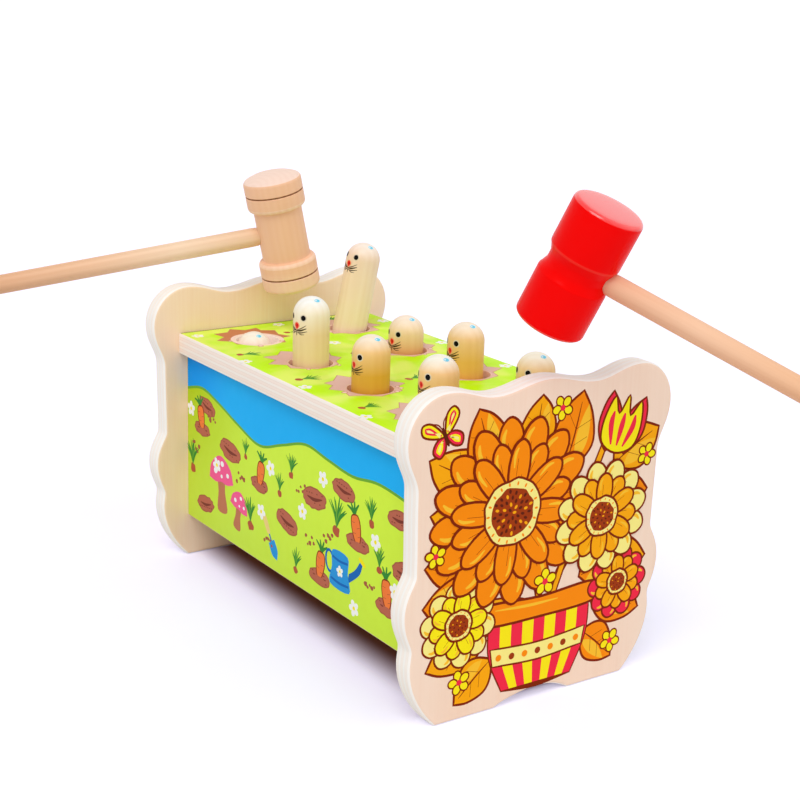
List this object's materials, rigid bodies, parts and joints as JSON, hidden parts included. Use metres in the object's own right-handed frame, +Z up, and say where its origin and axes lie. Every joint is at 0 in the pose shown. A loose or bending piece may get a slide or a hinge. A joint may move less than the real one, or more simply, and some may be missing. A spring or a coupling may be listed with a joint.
{
  "type": "whack-a-mole toy",
  "caption": "Wooden pounding bench toy with wavy end panels, pegs that slide in a printed board and loose hammers.",
  "frame": {"origin": "on the floor, under the middle of the box that holds the toy and its two hammers as shown; the toy's own middle is 27 mm along +X and 43 mm along +Y of it", "axes": "+X across the toy, +Y along it from the front panel to the rear one, +Z up"},
  "size_m": [0.2642, 0.459, 0.2565],
  "materials": {
    "birch_ply": "satin",
    "printed_board": "printed satin",
    "plain_ply": "raw",
    "mole_wood": "satin",
    "beech": "satin",
    "red_paint": "gloss",
    "cotton_tape": "woven",
    "steel": "plated"
  },
  "bodies": {
    "toy": {"front_panel": "birch_ply", "rear_panel": "birch_ply", "top_board": "printed_board", "left_side": "printed_board", "right_side": "printed_board", "base_board": "plain_ply", "ridge_bar": "beech", "front_left_dowel": "beech", "front_right_dowel": "beech", "rear_left_dowel": "beech", "rear_right_dowel": "beech", "front_left_block": "beech", "front_right_block": "beech", "rear_left_block": "beech", "rear_right_block": "beech", "front_left_screw": "steel", "front_right_screw": "steel", "rear_left_screw": "steel", "rear_right_screw": "steel", "strap_1": "cotton_tape", "strap_2": "cotton_tape", "strap_3": "cotton_tape", "strap_4": "cotton_tape"},
    "mole_a1": {"mole_a1": "mole_wood", "tack_a1": "steel"},
    "mole_b1": {"mole_b1": "mole_wood", "tack_b1": "steel"},
    "mole_a2": {"mole_a2": "mole_wood", "tack_a2": "steel"},
    "mole_b2": {"mole_b2": "mole_wood", "tack_b2": "steel"},
    "mole_a3": {"mole_a3": "mole_wood", "tack_a3": "steel"},
    "mole_b3": {"mole_b3": "mole_wood", "tack_b3": "steel"},
    "mole_a4": {"mole_a4": "mole_wood", "tack_a4": "steel"},
    "mole_b4": {"mole_b4": "mole_wood", "tack_b4": "steel"},
    "wood_hammer": {"wood_hammer_head": "beech", "wood_hammer_handle": "beech"},
    "red_hammer": {"red_hammer_head": "red_paint", "red_hammer_handle": "beech"}
  },
  "joints": [
    {"name": "mole_a1_slide", "type": "slide", "parent": "toy", "child": "mole_a1", "axis": [0, 0, 1], "range_m": [0, 0.048], "deforming": ["strap_1"]},
    {"name": "mole_b1_slide", "type": "slide", "parent": "toy", "child": "mole_b1", "axis": [0.1368, -0.0923, 0.9863], "range_m": [-0.048, 0]},
    {"name": "mole_a2_slide", "type": "slide", "parent": "toy", "child": "mole_a2", "axis": [0, 0, 1], "range_m": [-0.0325, 0.0155], "deforming": ["strap_2"]},
    {"name": "mole_b2_slide", "type": "slide", "parent": "toy", "child": "mole_b2", "axis": [0, 0, 1], "range_m": [-0.0155, 0.0325]},
    {"name": "mole_a3_slide", "type": "slide", "parent": "toy", "child": "mole_a3", "axis": [0, 0, 1], "range_m": [-0.024, 0.024], "deforming": ["strap_3"]},
    {"name": "mole_b3_slide", "type": "slide", "parent": "toy", "child": "mole_b3", "axis": [0, 0, 1], "range_m": [-0.024, 0.024]},
    {"name": "mole_a4_slide", "type": "slide", "parent": "toy", "child": "mole_a4", "axis": [0, 0, 1], "range_m": [-0.027, 0.021], "deforming": ["strap_4"]},
    {"name": "mole_b4_slide", "type": "slide", "parent": "toy", "child": "mole_b4", "axis": [0, 0, 1], "range_m": [-0.021, 0.027]},
    {"name": "wood_hammer_lift", "type": "slide", "parent": "toy", "child": "wood_hammer", "axis": [0, 0, 1], "range_m": [0, 0.1]},
    {"name": "red_hammer_lift", "type": "slide", "parent": "toy", "child": "red_hammer", "axis": [0, 0, 1], "range_m": [0, 0.1]}
  ],
  "couplings": [
    {"joint": "mole_b1_slide", "follows": "mole_a1_slide", "ratio": -1},
    {"joint": "mole_b2_slide", "follows": "mole_a2_slide", "ratio": -1},
    {"joint": "mole_b3_slide", "follows": "mole_a3_slide", "ratio": -1},
    {"joint": "mole_b4_slide", "follows": "mole_a4_slide", "ratio": -1}
  ]
}
